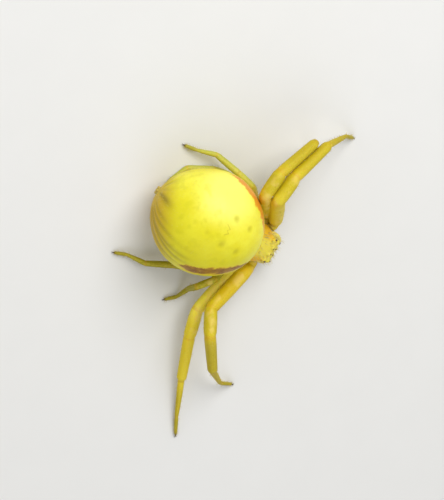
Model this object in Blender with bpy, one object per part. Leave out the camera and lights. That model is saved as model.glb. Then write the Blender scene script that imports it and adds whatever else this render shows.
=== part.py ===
# Yellow crab spider, a still life-size model of the female at rest.
# The head faces -Y, the spider's left is +X, and the belly and the feet stand on z = 0.
# Sizes are written in millimetres and angles in degrees; mesh points are written in metres.

import math

import bmesh
import bpy
from mathutils import Matrix, Vector

MM = 0.001

# Nearness, in metres, at which a point counts as lying on the floor
FLOOR_TOLERANCE = 1e-8

# Space kept between neighbouring pieces
GAP = 0.3

# Abdomen: half length, half width, heights, the height of its widest level and
# how far it drifts to the right for each millimetre to the rear
ABDOMEN_HALF_LENGTH = 3.5
ABDOMEN_HALF_WIDTH = 3.25
ABDOMEN_RISE = 2.95
ABDOMEN_DROP = 3.15
ABDOMEN_MID_HEIGHT = 3.0
ABDOMEN_PLAN_POWER = 1.9
ABDOMEN_SIDE_POWER = 2.2
ABDOMEN_DRIFT = 0.035
ABDOMEN_STATIONS = 22
ABDOMEN_SIDES = 36

# Waist: the short stalk between the abdomen and the cephalothorax
WAIST_RADIUS = 0.32
WAIST_HEIGHT = 1.15
WAIST_REACH = 3.05
WAIST_ROOT = 1.9

# Cephalothorax: where its rear end lies, and how far it is turned to the left
CEPHALOTHORAX_REAR = (0.1, -2.7)
CEPHALOTHORAX_TURN = 6.0
CARAPACE_RIM_HEIGHT = 1.62
CARAPACE_RIM_THICKNESS = 0.14
STERNUM_HEIGHT = 0.68
STERNUM_SHARE_AT_BASE = 0.72
SHOULDER_SHARE = 0.9
REAR_BULGE = 0.05
FRONT_BULGE = 0.08
DOME_STEPS = 12

# Stations of the cephalothorax from rear to front: distance ahead, half width,
# height of the carapace and half width of the sternum
CEPHALOTHORAX_STATIONS = (
    (0.0, 0.42, 1.80, 0.30),
    (0.15, 0.80, 2.05, 0.45),
    (0.38, 1.08, 2.28, 0.58),
    (0.68, 1.25, 2.42, 0.64),
    (1.02, 1.31, 2.46, 0.66),
    (1.38, 1.28, 2.44, 0.64),
    (1.74, 1.17, 2.39, 0.58),
    (2.04, 1.02, 2.30, 0.50),
    (2.25, 0.88, 2.16, 0.42),
    (2.36, 0.70, 1.98, 0.32),
)

# Eyes: radius and, for the left side, how far ahead, how far out and how high each sits
EYE_RADIUS = 0.09
EYE_ROWS = 5
EYE_SIDES = 8
EYE_TUBERCLE_RADIUS = 0.17
EYE_PLACES = (
    (2.28, 0.20, 2.14),
    (2.02, 0.17, 2.34),
    (2.24, 0.60, 2.12),
    (1.92, 0.66, 2.30),
)
EYE_TUBERCLE_PLACES = ((2.14, 0.60, 2.10), (1.92, 0.62, 2.20))

# Coxae and hips, measured like the stations: distance ahead, distance out and height
COXA_STARTS = {
    1: (1.84, 1.08, 1.14),
    2: (1.30, 1.16, 1.02),
    3: (0.78, 1.14, 0.91),
    4: (0.26, 0.93, 0.88),
}
HIPS = {
    1: (2.02, 1.49, 1.06),
    2: (1.36, 1.68, 0.92),
    3: (0.74, 1.64, 0.83),
    4: (0.10, 1.28, 0.84),
}

# Leg segments: femur, patella, tibia, metatarsus and tarsus
SEGMENT_LENGTHS = {
    1: (4.0, 1.7, 3.2, 2.45, 1.25),
    2: (3.9, 1.75, 3.15, 2.65, 1.35),
    3: (2.3, 1.15, 1.7, 1.25, 0.8),
    4: (2.4, 1.1, 1.7, 1.25, 0.8),
}

# Radii of the leg pairs at the coxa, hip, knee, patella end, tibia end, metatarsus end and tip
JOINT_RADII = {
    1: (0.21, 0.24, 0.36, 0.34, 0.27, 0.22, 0.14),
    2: (0.21, 0.23, 0.34, 0.32, 0.27, 0.22, 0.14),
    3: (0.20, 0.22, 0.25, 0.25, 0.24, 0.19, 0.13),
    4: (0.20, 0.22, 0.25, 0.25, 0.24, 0.19, 0.13),
}

# How much a segment swells between its two joints: coxa to tarsus
SEGMENT_SWELL = {
    1: (1.0, 1.12, 1.05, 1.06, 1.0, 1.0),
    2: (1.0, 1.12, 1.05, 1.06, 1.0, 1.0),
    3: (1.0, 1.08, 1.0, 1.0, 1.0, 1.0),
    4: (1.0, 1.08, 1.0, 1.0, 1.0, 1.0),
}

# Pose of each leg: heading and rise of femur, patella and tibia, heading of the
# metatarsus, whose rise is worked out, and heading and rise of the tarsus
LEG_POSES = {
    "leg_left_1": ((53, 50), (1, 2), (-26, -26), -59, (-84, -45)),
    "leg_left_2": ((60, 50), (8, 16), (-28, -25), -129, (-141, -30)),
    "leg_left_3": ((55, 27), (80, -21), (84, -25), 112, (103, -20)),
    "leg_left_4": ((57, -14), (101, -3), (118, -1), 158, (188, -5)),
    "leg_right_1": ((157, 27), (203, 33), (227, -25), 248, (281, -34)),
    "leg_right_2": ((167, 10), (201, -3), (210, -13), 212, (216, -10)),
    "leg_right_3": ((152, 42), (138, 10), (206, -66), 183, (135, -5)),
    "leg_right_4": ((149, 3), (116, -7), (120, -9), 98, (116, -14)),
}
FOOT_CENTRE_HEIGHT = 0.1
LIMB_SIDES = 10

# Round cap of a segment: how far out and how wide its ring is, as shares of the end radius
CAP_REACH = 0.5
CAP_WIDTH = 0.87

# Rings of a swollen segment: shares of its length, and of the swelling at each
SWELL_RINGS = ((0.25, 0.65), (0.5, 1.0), (0.75, 0.65))

# Palps: joints of the left one, as distance ahead, distance out and height
PALP_JOINTS = (
    (2.12, 0.62, 1.50),
    (2.42, 0.68, 1.60),
    (2.62, 0.69, 1.50),
    (2.72, 0.70, 1.18),
    (2.70, 0.69, 0.70),
)
PALP_RADII = (0.2, 0.24, 0.24, 0.24, 0.15)
PALP_SIDES = 8

# Chelicerae: root and tip of the left one, and the radii there
CHELICERA_ROOT = (2.34, 0.15, 1.34)
CHELICERA_TIP = (2.54, 0.16, 0.66)
CHELICERA_RADII = (0.22, 0.16)
CHELICERA_SWELL = 1.08

# Spinnerets: the base on the abdomen and the three pairs of cones
SPINNERET_BASE = (-0.2, 3.05, 2.1)
SPINNERET_AXIS = (0.0, 0.93, -0.37)
SPINNERET_BASE_RADIUS = 0.42
SPINNERET_BASE_ROWS = 8
SPINNERET_BASE_SIDES = 14
SPINNERET_CONE_RADII = (0.15, 0.09)
SPINNERET_CONE_LENGTH = 0.44
SPINNERET_SPREAD = 0.22
SPINNERET_ROOT_SHARE = 0.6
SPINNERET_PAIRS = 3
SPINNERET_SIDES = 8

SMOOTH_ANGLE = 40.0


def clear_scene():
    for item in list(bpy.data.objects):
        bpy.data.objects.remove(item, do_unlink=True)


def make_material(name, colour, roughness):
    material = bpy.data.materials.new(name)
    material.use_nodes = True
    shader = material.node_tree.nodes["Principled BSDF"]
    shader.inputs["Base Color"].default_value = (*colour, 1.0)
    shader.inputs["Roughness"].default_value = roughness
    shader.inputs["Metallic"].default_value = 0.0
    return material


def head_point(ahead, out, height):
    """Place a point given along the cephalothorax: ahead of its rear end, out to its left, up."""
    turn = Matrix.Rotation(math.radians(CEPHALOTHORAX_TURN), 3, "Z")
    point = turn @ Vector((out, -ahead, height))
    return point + Vector((*CEPHALOTHORAX_REAR, 0.0))


def direction(heading, rise):
    """Unit vector for a heading counted from +X towards +Y and a rise above level."""
    heading, rise = math.radians(heading), math.radians(rise)
    return Vector((math.cos(rise) * math.cos(heading),
                   math.cos(rise) * math.sin(heading),
                   math.sin(rise)))


def loft(name, start, rings, end):
    """Closed skin from a start point over rings of equal count to an end point."""
    mesh = bmesh.new()
    first = mesh.verts.new(start * MM)
    last = mesh.verts.new(end * MM)
    loops = [[mesh.verts.new(point * MM) for point in ring] for ring in rings]
    count = len(loops[0])
    for i in range(count):
        j = (i + 1) % count
        mesh.faces.new((first, loops[0][j], loops[0][i]))
        mesh.faces.new((last, loops[-1][i], loops[-1][j]))
        for near, far in zip(loops, loops[1:]):
            mesh.faces.new((near[i], near[j], far[j], far[i]))
    bmesh.ops.recalc_face_normals(mesh, faces=mesh.faces)
    data = bpy.data.meshes.new(name)
    mesh.to_mesh(data)
    mesh.free()
    piece = bpy.data.objects.new(name, data)
    bpy.context.scene.collection.objects.link(piece)
    return piece


def limb_segment(name, start, end, radii, swell=1.0, grow=0.0, sides=LIMB_SIDES):
    """Tapered segment with a round cap at each joint, swollen between them."""
    axis = (end - start).normalized()
    length = (end - start).length
    side = axis.orthogonal().normalized()
    other = axis.cross(side)
    near, far = radii[0] + grow, radii[1] + grow
    middle = (radii[0] + radii[1]) / 2 * swell + grow
    profile = [(-CAP_REACH * near, CAP_WIDTH * near), (0.0, near)]
    if swell != 1.0:
        for share, fullness in SWELL_RINGS:
            plain = near if share < 0.5 else far
            radius = plain + (middle - plain) * fullness
            profile.append((share * length, radius))
    profile += [(length, far), (length + CAP_REACH * far, CAP_WIDTH * far)]
    rings = []
    for distance, radius in profile:
        centre = start + axis * distance
        ring = []
        for k in range(sides):
            angle = 2 * math.pi * k / sides
            ring.append(centre + (side * math.cos(angle) + other * math.sin(angle)) * radius)
        rings.append(ring)
    return loft(name, start - axis * near, rings, end + axis * far)


def ball(name, centre, radius, rows=6, sides=10):
    """Globe of rows and sides; the small ones get few."""
    rings = []
    for row in range(1, rows):
        angle = math.pi * row / rows
        height, reach = math.cos(angle) * radius, math.sin(angle) * radius
        rings.append([centre + Vector((reach * math.cos(2 * math.pi * k / sides),
                                       reach * math.sin(2 * math.pi * k / sides),
                                       height)) for k in range(sides)])
    up = Vector((0.0, 0.0, radius))
    return loft(name, centre + up, rings, centre - up)


def run_boolean(target, tools, operation):
    """Join or cut a piece with others in one step, then remove the others."""
    group = bpy.data.collections.new(target.name + "_tools")
    bpy.context.scene.collection.children.link(group)
    for tool in tools:
        bpy.context.scene.collection.objects.unlink(tool)
        group.objects.link(tool)
        tool.hide_render = True
        tool.display_type = "WIRE"
    modifier = target.modifiers.new(operation.title(), "BOOLEAN")
    modifier.operation = operation
    modifier.operand_type = "COLLECTION"
    modifier.collection = group
    modifier.solver = "EXACT"
    bpy.context.view_layer.update()
    evaluated = target.evaluated_get(bpy.context.evaluated_depsgraph_get())
    data = bpy.data.meshes.new_from_object(evaluated)
    target.modifiers.clear()
    target.data = data
    for tool in tools:
        bpy.data.objects.remove(tool, do_unlink=True)
    bpy.data.collections.remove(group)
    keep_largest_shell(target)


def keep_largest_shell(piece):
    """Drop every closed surface but the one with the largest volume."""
    mesh = bmesh.new()
    mesh.from_mesh(piece.data)
    unseen = set(mesh.faces)
    shells = []
    while unseen:
        stack = [unseen.pop()]
        shell = []
        while stack:
            face = stack.pop()
            shell.append(face)
            for edge in face.edges:
                for neighbour in edge.link_faces:
                    if neighbour in unseen:
                        unseen.discard(neighbour)
                        stack.append(neighbour)
        shells.append(shell)
    shells.sort(key=shell_volume)
    for shell in shells[:-1]:
        bmesh.ops.delete(mesh, geom=shell, context="FACES")
    mesh.to_mesh(piece.data)
    mesh.free()


def shell_volume(faces):
    """Volume inside a closed set of faces, by cones to the origin."""
    volume = 0.0
    for face in faces:
        corners = [vertex.co for vertex in face.verts]
        for near, far in zip(corners[1:], corners[2:]):
            volume += corners[0].dot(near.cross(far)) / 6
    return abs(volume)


def flatten_base(piece):
    """Cut a piece off at the floor and close the cut with one flat face."""
    mesh = bmesh.new()
    mesh.from_mesh(piece.data)
    geometry = mesh.verts[:] + mesh.edges[:] + mesh.faces[:]
    bmesh.ops.bisect_plane(mesh, geom=geometry, dist=FLOOR_TOLERANCE, plane_co=(0, 0, 0),
                           plane_no=(0, 0, 1), clear_inner=True)
    rim = [edge for edge in mesh.edges if edge.is_boundary]
    bmesh.ops.contextual_create(mesh, geom=rim)
    bmesh.ops.recalc_face_normals(mesh, faces=mesh.faces)
    mesh.to_mesh(piece.data)
    mesh.free()


def finish(piece, material):
    """Tidy the skin, give it its material and shade it smooth."""
    mesh = bmesh.new()
    mesh.from_mesh(piece.data)
    bmesh.ops.triangulate(mesh, faces=mesh.faces)
    mesh.to_mesh(piece.data)
    mesh.free()
    piece.data.materials.clear()
    piece.data.materials.append(material)
    piece.data.shade_smooth()
    piece.data.set_sharp_from_angle(angle=math.radians(SMOOTH_ANGLE))


def abdomen_body(name, grow=0.0):
    """Globe a little narrower at both ends, higher above its widest level than its width."""
    half_length = ABDOMEN_HALF_LENGTH + grow
    rings = []
    for station in range(1, ABDOMEN_STATIONS):
        along = -math.cos(math.pi * station / ABDOMEN_STATIONS)
        plan = (1 - abs(along) ** ABDOMEN_PLAN_POWER) ** (1 / ABDOMEN_PLAN_POWER)
        upright = math.sqrt(1 - abs(along) ** ABDOMEN_SIDE_POWER)
        drift = ABDOMEN_DRIFT * (ABDOMEN_HALF_LENGTH + half_length * along)
        ring = []
        for k in range(ABDOMEN_SIDES):
            angle = 2 * math.pi * k / ABDOMEN_SIDES
            height = ABDOMEN_RISE if math.sin(angle) > 0 else ABDOMEN_DROP
            ring.append(Vector((
                (ABDOMEN_HALF_WIDTH + grow) * plan * math.cos(angle) - drift,
                half_length * along,
                ABDOMEN_MID_HEIGHT + (height + grow) * upright * math.sin(angle))))
        rings.append(ring)
    front = Vector((0.0, -half_length, ABDOMEN_MID_HEIGHT))
    rear = Vector((-2 * ABDOMEN_DRIFT * ABDOMEN_HALF_LENGTH, half_length, ABDOMEN_MID_HEIGHT))
    return loft(name, front, rings, rear)


def waist(name, grow=0.0):
    """Short stalk low on the front of the abdomen."""
    start = Vector((0.0, -WAIST_ROOT, WAIST_HEIGHT))
    end = Vector((0.0, -WAIST_REACH, WAIST_HEIGHT))
    return limb_segment(name, start, end, (WAIST_RADIUS, WAIST_RADIUS), grow=grow)


def build_abdomen(material):
    """Globe with the stalk in front and a shallow pocket behind that seats the spinnerets."""
    body = abdomen_body("abdomen")
    run_boolean(body, [waist("waist")], "UNION")
    run_boolean(body, [spinneret_base("pocket", GAP)], "DIFFERENCE")
    flatten_base(body)
    finish(body, material)


def cephalothorax_section(station):
    """Outline across one station: the domed carapace over its rim and the narrower sternum."""
    ahead, half_width, top, sternum = station
    points = []
    for step in range(DOME_STEPS + 1):
        angle = math.pi * step / DOME_STEPS
        rise = (top - CARAPACE_RIM_HEIGHT) * math.sin(angle)
        points.append((half_width * math.cos(angle), CARAPACE_RIM_HEIGHT + rise))
    under = CARAPACE_RIM_HEIGHT - CARAPACE_RIM_THICKNESS / 2
    neck = CARAPACE_RIM_HEIGHT - CARAPACE_RIM_THICKNESS
    lower = (
        (SHOULDER_SHARE * half_width, under),
        (sternum, neck),
        (sternum, (neck + STERNUM_HEIGHT) / 2),
        (STERNUM_SHARE_AT_BASE * sternum, STERNUM_HEIGHT),
    )
    left_side = [(-out, height) for out, height in lower]
    points += left_side + list(reversed(lower))
    return [head_point(ahead, out, height) for out, height in points]


def build_cephalothorax(material):
    rings = [cephalothorax_section(station) for station in CEPHALOTHORAX_STATIONS]
    rear, front = CEPHALOTHORAX_STATIONS[0], CEPHALOTHORAX_STATIONS[-1]
    start = head_point(rear[0] - REAR_BULGE, 0.0, CARAPACE_RIM_HEIGHT)
    end = head_point(front[0] + FRONT_BULGE, 0.0, CARAPACE_RIM_HEIGHT)
    body = loft("cephalothorax", start, rings, end)
    bumps = []
    for side in (1, -1):
        for ahead, out, height in EYE_TUBERCLE_PLACES:
            bumps.append(ball("tubercle", head_point(ahead, side * out, height),
                              EYE_TUBERCLE_RADIUS))
        for ahead, out, height in EYE_PLACES:
            bumps.append(ball("eye", head_point(ahead, side * out, height),
                              EYE_RADIUS, EYE_ROWS, EYE_SIDES))
    run_boolean(body, bumps, "UNION")
    cutters = [abdomen_body("abdomen_space", GAP), waist("waist_space", GAP)]
    for side in (1, -1):
        for number in COXA_STARTS:
            cutters.append(coxa(f"coxa_space_{number}", side, number, GAP))
        cutters.append(palp_segment("palp_space", side, 0, GAP))
        cutters.append(chelicera("chelicera_space", side, GAP))
    run_boolean(body, cutters, "DIFFERENCE")
    finish(body, material)


def coxa(name, side, number, grow=0.0):
    """First short segment, from the sternum's edge to the hip."""
    ahead, out, height = COXA_STARTS[number]
    start = head_point(ahead, side * out, height)
    return limb_segment(name, start, hip_point(side, number), JOINT_RADII[number][:2], grow=grow)


def hip_point(side, number):
    ahead, out, height = HIPS[number]
    return head_point(ahead, side * out, height)


def leg_joints(name, side, number):
    """Hip, knee and the other joints down to the foot, which lands on the floor."""
    lengths = SEGMENT_LENGTHS[number]
    femur, patella, tibia, metatarsus_heading, tarsus = LEG_POSES[name]
    joints = [hip_point(side, number)]
    for length, (heading, rise) in zip(lengths, (femur, patella, tibia)):
        joints.append(joints[-1] + length * direction(heading, rise))
    tarsus_step = lengths[4] * direction(*tarsus)
    drop = joints[-1].z + tarsus_step.z - FOOT_CENTRE_HEIGHT
    rise = -math.degrees(math.asin(drop / lengths[3]))
    joints.append(joints[-1] + lengths[3] * direction(metatarsus_heading, rise))
    joints.append(joints[-1] + tarsus_step)
    return joints


def build_leg(name, material):
    side = 1 if "left" in name else -1
    number = int(name[-1])
    joints = leg_joints(name, side, number)
    radii = JOINT_RADII[number]
    swells = SEGMENT_SWELL[number]
    leg = coxa(name, side, number)
    pieces = []
    for i in range(len(joints) - 1):
        pieces.append(limb_segment("segment", joints[i], joints[i + 1],
                                   radii[i + 1:i + 3], swells[i + 1]))
    run_boolean(leg, pieces, "UNION")
    flatten_base(leg)
    finish(leg, material)


def palp_segment(name, side, index, grow=0.0):
    ends = [head_point(ahead, side * out, height) for ahead, out, height in PALP_JOINTS]
    return limb_segment(name, ends[index], ends[index + 1], PALP_RADII[index:index + 2],
                        grow=grow, sides=PALP_SIDES)


def build_palp(name, side, material):
    palp = palp_segment(name, side, 0)
    others = [palp_segment("segment", side, i) for i in range(1, len(PALP_JOINTS) - 1)]
    run_boolean(palp, others, "UNION")
    finish(palp, material)


def chelicera(name, side, grow=0.0):
    """One jaw: a stout cone that hangs from the front."""
    ahead, out, height = CHELICERA_ROOT
    start = head_point(ahead, side * out, height)
    ahead, out, height = CHELICERA_TIP
    end = head_point(ahead, side * out, height)
    return limb_segment(name, start, end, CHELICERA_RADII, CHELICERA_SWELL, grow)


def build_chelicerae(material):
    """Both jaws, side by side and joined along the middle."""
    jaws = chelicera("chelicerae", 1)
    run_boolean(jaws, [chelicera("jaw", -1)], "UNION")
    finish(jaws, material)


def spinneret_base(name, grow=0.0):
    return ball(name, Vector(SPINNERET_BASE), SPINNERET_BASE_RADIUS + grow,
                SPINNERET_BASE_ROWS, SPINNERET_BASE_SIDES)


def build_spinnerets(material):
    """Cluster of short cones on a round base that sits in the abdomen's pocket."""
    centre = Vector(SPINNERET_BASE)
    axis = Vector(SPINNERET_AXIS).normalized()
    base = spinneret_base("spinnerets")
    across = Vector((1.0, 0.0, 0.0))
    upward = across.cross(axis)
    cones = []
    for k in range(2 * SPINNERET_PAIRS):
        angle = math.pi * (k + 0.5) / SPINNERET_PAIRS
        spread = (across * math.cos(angle) + upward * math.sin(angle)) * SPINNERET_SPREAD
        cones.append(limb_segment("cone", centre + spread * SPINNERET_ROOT_SHARE,
                                  centre + spread + axis * SPINNERET_CONE_LENGTH,
                                  SPINNERET_CONE_RADII, sides=SPINNERET_SIDES))
    run_boolean(base, cones, "UNION")
    finish(base, material)


def build_spider():
    clear_scene()
    yellow = make_material("abdomen_yellow", (0.83, 0.72, 0.06), 0.38)
    amber = make_material("carapace_amber", (0.62, 0.36, 0.07), 0.45)
    golden = make_material("leg_golden", (0.72, 0.54, 0.04), 0.42)
    pale = make_material("palp_pale", (0.66, 0.60, 0.30), 0.5)
    brown = make_material("spinneret_brown", (0.45, 0.33, 0.10), 0.55)
    build_abdomen(yellow)
    build_cephalothorax(amber)
    build_chelicerae(amber)
    build_spinnerets(brown)
    for name in LEG_POSES:
        build_leg(name, golden)
    for label, side in (("left", 1), ("right", -1)):
        build_palp(f"palp_{label}", side, pale)


build_spider()
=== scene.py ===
# Yellow crab spider at rest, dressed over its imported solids.
# Pieces are modelled in millimetres and settle() turns them into metres.
import math
import random

import bmesh
import bpy
import numpy as np
from mathutils import Matrix, Vector


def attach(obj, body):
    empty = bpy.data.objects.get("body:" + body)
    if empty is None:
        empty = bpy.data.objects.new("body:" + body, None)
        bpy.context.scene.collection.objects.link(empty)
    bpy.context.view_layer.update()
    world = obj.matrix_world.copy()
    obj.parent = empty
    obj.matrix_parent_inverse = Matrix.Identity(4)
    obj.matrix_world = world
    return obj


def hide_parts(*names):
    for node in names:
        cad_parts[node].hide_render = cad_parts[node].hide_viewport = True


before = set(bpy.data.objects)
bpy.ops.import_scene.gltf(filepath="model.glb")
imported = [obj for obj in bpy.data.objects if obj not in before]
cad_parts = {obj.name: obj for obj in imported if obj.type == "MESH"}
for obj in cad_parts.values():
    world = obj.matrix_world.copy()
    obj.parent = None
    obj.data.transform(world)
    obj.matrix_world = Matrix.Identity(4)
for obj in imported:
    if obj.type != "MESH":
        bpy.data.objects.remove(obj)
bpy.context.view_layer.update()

millimetre = 0.001
print("stage: frame loaded")


# small tools for modelling

def clearSelection():
    if bpy.context.object and bpy.context.object.mode != "OBJECT":
        bpy.ops.object.mode_set(mode="OBJECT")
    bpy.ops.object.select_all(action="DESELECT")


def selectOnly(*pieces):
    clearSelection()
    for piece in pieces:
        piece.select_set(True)
    bpy.context.view_layer.objects.active = pieces[0]


def startPiece(name):
    # the primitive that was just added takes the piece's name
    piece = bpy.context.object
    piece.name = name
    piece.data.name = name
    return piece


def steadyOrder(piece):
    # a new sphere lists its edges and faces in another order each run, so they are sorted
    shape = bmesh.new()
    shape.from_mesh(piece.data)
    for parts in (shape.edges, shape.faces):
        ranked = sorted(parts, key=lambda part: sorted(corner.index for corner in part.verts))
        for rank, part in enumerate(ranked):
            part.index = rank
        parts.sort()
    shape.to_mesh(piece.data)
    shape.free()


def addBall(name, place, radius, segments=24, rings=16):
    clearSelection()
    bpy.ops.mesh.primitive_uv_sphere_add(segments=segments, ring_count=rings, radius=radius,
                                         location=place)
    ball = startPiece(name)
    steadyOrder(ball)
    return ball


def applyModifier(piece, kind, **settings):
    modifier = piece.modifiers.new(kind.title(), kind)
    for key, value in settings.items():
        setattr(modifier, key, value)
    selectOnly(piece)
    bpy.ops.object.modifier_apply(modifier=modifier.name)


def applyPlace(piece):
    selectOnly(piece)
    bpy.ops.object.transform_apply(location=True, rotation=True, scale=True)


def faceOutward(piece):
    selectOnly(piece)
    bpy.ops.object.mode_set(mode="EDIT")
    bpy.ops.mesh.select_all(action="SELECT")
    bpy.ops.mesh.remove_doubles(threshold=1e-5)
    bpy.ops.mesh.normals_make_consistent(inside=False)
    bpy.ops.object.mode_set(mode="OBJECT")


def joinPieces(main, others):
    selectOnly(main, *others)
    bpy.ops.object.join()
    return main


def uniteWith(main, others):
    # one skin out of overlapping closed pieces
    group = bpy.data.collections.new(main.name + "Parts")
    bpy.context.scene.collection.children.link(group)
    for other in others:
        for holder in list(other.users_collection):
            holder.objects.unlink(other)
        group.objects.link(other)
    applyModifier(main, "BOOLEAN", operation="UNION", operand_type="COLLECTION",
                  collection=group, solver="EXACT")
    for other in others:
        bpy.data.objects.remove(other, do_unlink=True)
    bpy.data.collections.remove(group)
    return main


def pointsOf(piece):
    places = np.empty(len(piece.data.vertices) * 3)
    piece.data.vertices.foreach_get("co", places)
    return places.reshape(-1, 3)


def normalsOf(piece):
    directions = np.empty(len(piece.data.vertices) * 3)
    piece.data.vertices.foreach_get("normal", directions)
    return directions.reshape(-1, 3)


def movePoints(piece, places):
    piece.data.vertices.foreach_set("co", np.asarray(places, float).ravel())
    piece.data.update()


def giveAttribute(piece, name, values):
    attribute = piece.data.attributes.new(name, "FLOAT", "POINT")
    attribute.data.foreach_set("value", np.asarray(values, np.float32))


def settle(piece, material, nodes=()):
    # millimetres to metres, then the words that the frame needs
    applyPlace(piece)
    piece.scale = (millimetre,) * 3
    applyPlace(piece)
    bpy.ops.object.shade_smooth()
    piece.data.materials.clear()
    piece.data.materials.append(material)
    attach(piece, "root")
    if nodes:
        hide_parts(*nodes)
    faces = sum(len(face.vertices) - 2 for face in piece.data.polygons)
    print(f"stage: {piece.name} settled, {faces} triangles")
    return piece


def smoothStep(low, high, value):
    share = np.clip((value - low) / (high - low), 0, 1)
    return share * share * (3 - 2 * share)


# small tools for shading

class Signal:
    # a node's output socket, so that shader maths reads as plain expressions
    def __init__(self, paint, socket):
        self.paint = paint
        self.socket = socket

    def work(self, operation, first, second=0.0):
        return self.paint.node("ShaderNodeMath", {"operation": operation}, {0: first, 1: second})

    def __add__(self, other):
        return self.work("ADD", self, other)

    def __radd__(self, other):
        return self.work("ADD", other, self)

    def __sub__(self, other):
        return self.work("SUBTRACT", self, other)

    def __rsub__(self, other):
        return self.work("SUBTRACT", other, self)

    def __mul__(self, other):
        return self.work("MULTIPLY", self, other)

    def __rmul__(self, other):
        return self.work("MULTIPLY", other, self)

    def __truediv__(self, other):
        return self.work("DIVIDE", self, other)

    def __rtruediv__(self, other):
        return self.work("DIVIDE", other, self)

    def __abs__(self):
        return self.work("ABSOLUTE", self)

    def atMost(self, other):
        return self.work("MINIMUM", self, other)

    def atLeast(self, other):
        return self.work("MAXIMUM", self, other)

    def step(self, low, high):
        # 0 below low, 1 above high, smooth between them; low may lie above high
        return self.paint.node("ShaderNodeMapRange", {"interpolation_type": "SMOOTHSTEP"},
                               {"Value": self, "From Min": low, "From Max": high})


class Paint:
    # one material: node() adds any node from its type, settings and sockets
    def __init__(self, name, **constants):
        self.material = bpy.data.materials.new(name)
        self.material.use_nodes = True
        self.tree = self.material.node_tree
        self.shader = self.tree.nodes["Principled BSDF"]
        for socket, value in constants.items():
            self.shader.inputs[socket.replace("_", " ")].default_value = value

    def node(self, kind, settings=None, inputs=None, output=0):
        made = self.tree.nodes.new(kind)
        for key, value in (settings or {}).items():
            setattr(made, key, value)
        for key, value in (inputs or {}).items():
            if isinstance(value, Signal):
                self.tree.links.new(value.socket, made.inputs[key])
            else:
                made.inputs[key].default_value = value
        return Signal(self, made.outputs[output])

    def feed(self, socket, signal):
        self.tree.links.new(signal.socket, self.shader.inputs[socket])

    def place(self, moved=(0, 0, 0), turned=(0, 0, 0), scale=1000.0):
        # object coordinates in millimetres, moved and turned like a stencil
        spot = self.node("ShaderNodeTexCoord", output="Object")
        spot = self.node("ShaderNodeVectorMath", {"operation": "SCALE"},
                         {0: spot, "Scale": scale})
        if any(moved) or any(turned):
            spot = self.node("ShaderNodeMapping", {"vector_type": "TEXTURE"},
                             {"Vector": spot, "Location": moved, "Rotation": turned})
        return spot

    def axes(self, spot):
        return [self.node("ShaderNodeSeparateXYZ", None, {0: spot}, axis) for axis in "XYZ"]

    def attribute(self, name):
        return self.node("ShaderNodeAttribute", {"attribute_name": name}, None, "Fac")

    def noise(self, spot, scale, detail=2.0, roughness=0.5):
        return self.node("ShaderNodeTexNoise", None,
                         {"Vector": spot, "Scale": scale, "Detail": detail,
                          "Roughness": roughness})

    def cells(self, spot, scale):
        return self.node("ShaderNodeTexVoronoi", {"feature": "DISTANCE_TO_EDGE"},
                         {"Vector": spot, "Scale": scale})

    def distance(self, spot, point):
        return self.node("ShaderNodeVectorMath", {"operation": "DISTANCE"},
                         {0: spot, 1: point}, "Value")

    def lineDistance(self, spot, start, end):
        # distance to the straight line between two points
        line = end - start
        offset = self.node("ShaderNodeVectorMath", {"operation": "SUBTRACT"}, {0: spot, 1: start})
        share = self.node("ShaderNodeVectorMath", {"operation": "DOT_PRODUCT"},
                          {0: offset, 1: line}, "Value") / line.length_squared
        reached = self.node("ShaderNodeVectorMath", {"operation": "SCALE"},
                            {0: line, "Scale": share.atLeast(0.0).atMost(1.0)})
        return self.node("ShaderNodeVectorMath", {"operation": "DISTANCE"},
                         {0: offset, 1: reached}, "Value")

    def mix(self, factor, first, second):
        first, second = [value if isinstance(value, Signal) else (*value, 1.0)
                         for value in (first, second)]
        return self.node("ShaderNodeMix", {"data_type": "RGBA"},
                         {0: factor, 6: first, 7: second}, 2)

    def over(self, colour, *layers):
        # each layer is how much of it shows, and its colour
        for share, tint in layers:
            colour = self.mix(share, colour, tint)
        return colour

    def bump(self, height, strength, depth):
        self.feed("Normal", self.node("ShaderNodeBump", None,
                                      {"Height": height, "Strength": strength,
                                       "Distance": depth * millimetre}))


# the spider's plan, in millimetres and degrees, as in its solids
headPlan = {
    "rear": (0.1, -2.7),
    "turn": 6.0,
}

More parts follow.
